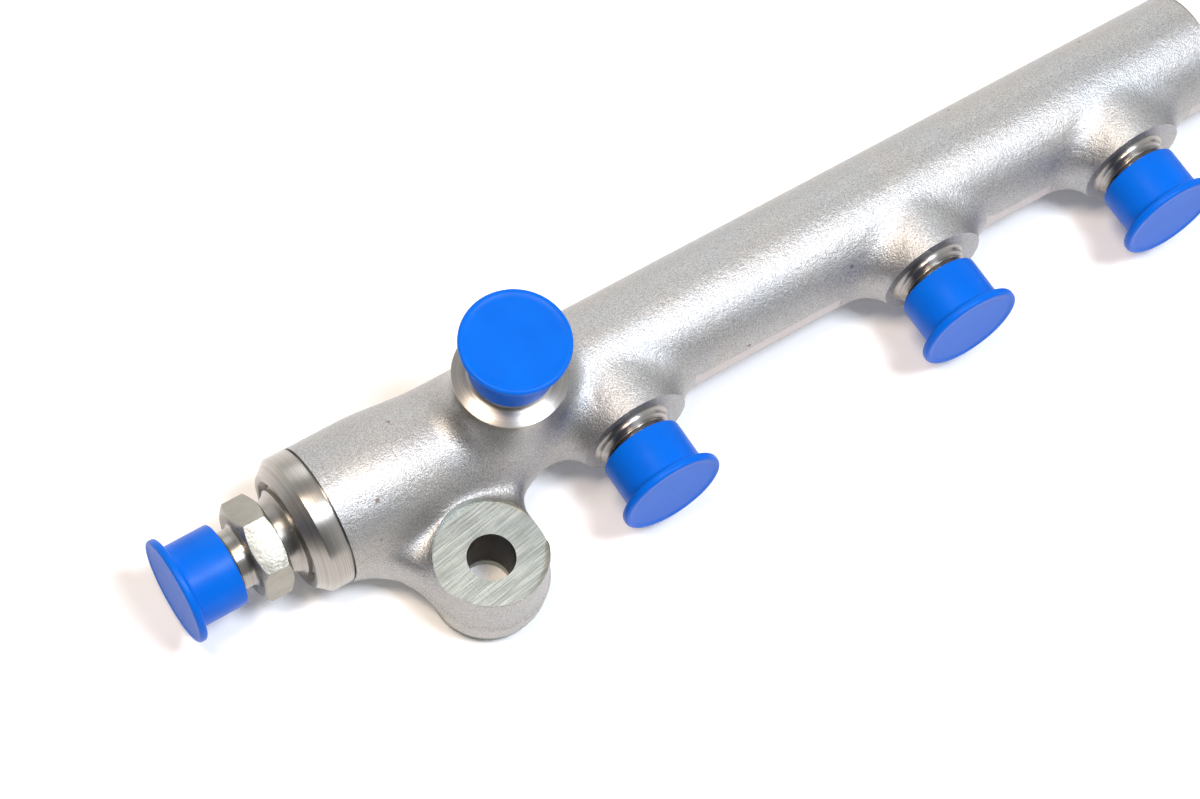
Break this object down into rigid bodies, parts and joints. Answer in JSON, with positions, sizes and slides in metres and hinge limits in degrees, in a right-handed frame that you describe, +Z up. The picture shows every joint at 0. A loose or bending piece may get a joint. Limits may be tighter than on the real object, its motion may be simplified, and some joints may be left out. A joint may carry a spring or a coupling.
{
  "type": "fuel rail",
  "caption": "Forged common rail for diesel injection: bored bar with threaded outlets, top inlet, bolt ears, end relief valve and push-on transport caps.",
  "frame": {"origin": "midway between the two bolt holes, on the plane of the ears' seat pads", "axes": "+Z up along the bolts, +X along the rail away from the relief valve, -Y towards the injector outlets"},
  "size_m": [0.3411, 0.0476, 0.046],
  "materials": {
    "forged_steel": "shot-blasted forged steel, with turned and milled faces",
    "zinc_plated_steel": "turned steel with clear zinc plating",
    "hardened_steel": "ground hardened steel",
    "spring_steel": "drawn spring wire",
    "soft_washer": "plain soft sealing washer",
    "blue_polyethylene": "moulded blue polyethylene, satin",
    "label_film": "blank white film label"
  },
  "bodies": {
    "rail": {"rail_body": "forged_steel", "relief_valve_body": "zinc_plated_steel", "relief_valve_seat": "hardened_steel", "relief_valve_spring": "spring_steel", "relief_valve_shim": "hardened_steel", "relief_valve_stop": "hardened_steel", "inlet_throttle": "hardened_steel", "outlet_throttle_1": "hardened_steel", "outlet_throttle_2": "hardened_steel", "outlet_throttle_3": "hardened_steel", "outlet_throttle_4": "hardened_steel", "end_plug": "zinc_plated_steel", "end_plug_washer": "soft_washer", "label": "label_film"},
    "relief_piston": {"relief_valve_piston": "hardened_steel"},
    "relief_valve_cap": {"relief_valve_cap": "blue_polyethylene"},
    "inlet_cap": {"inlet_cap": "blue_polyethylene"},
    "injector_cap_1": {"injector_cap_1": "blue_polyethylene"},
    "injector_cap_2": {"injector_cap_2": "blue_polyethylene"},
    "injector_cap_3": {"injector_cap_3": "blue_polyethylene"},
    "injector_cap_4": {"injector_cap_4": "blue_polyethylene"}
  },
  "joints": [
    {"name": "relief_valve_cap_pull", "type": "slide", "parent": "rail", "child": "relief_valve_cap", "axis": [-1, 0, 0], "range_m": [0, 0.02]},
    {"name": "inlet_cap_pull", "type": "slide", "parent": "rail", "child": "inlet_cap", "axis": [0, 0, 1], "range_m": [0, 0.02]},
    {"name": "injector_cap_1_pull", "type": "slide", "parent": "rail", "child": "injector_cap_1", "axis": [0, -0.9976, 0.0698], "range_m": [0, 0.02]},
    {"name": "injector_cap_2_pull", "type": "slide", "parent": "rail", "child": "injector_cap_2", "axis": [0, -0.9976, 0.0698], "range_m": [0, 0.02]},
    {"name": "injector_cap_3_pull", "type": "slide", "parent": "rail", "child": "injector_cap_3", "axis": [0, -0.9976, 0.0698], "range_m": [0, 0.02]},
    {"name": "injector_cap_4_pull", "type": "slide", "parent": "rail", "child": "injector_cap_4", "axis": [0, -0.9976, 0.0698], "range_m": [0, 0.02]},
    {"name": "relief_piston_lift", "type": "slide", "parent": "rail", "child": "relief_piston", "axis": [-1, 0, 0], "range_m": [0, 0.0008], "stiffness_N_per_m": 2000, "deforming": ["relief_valve_spring"]}
  ]
}
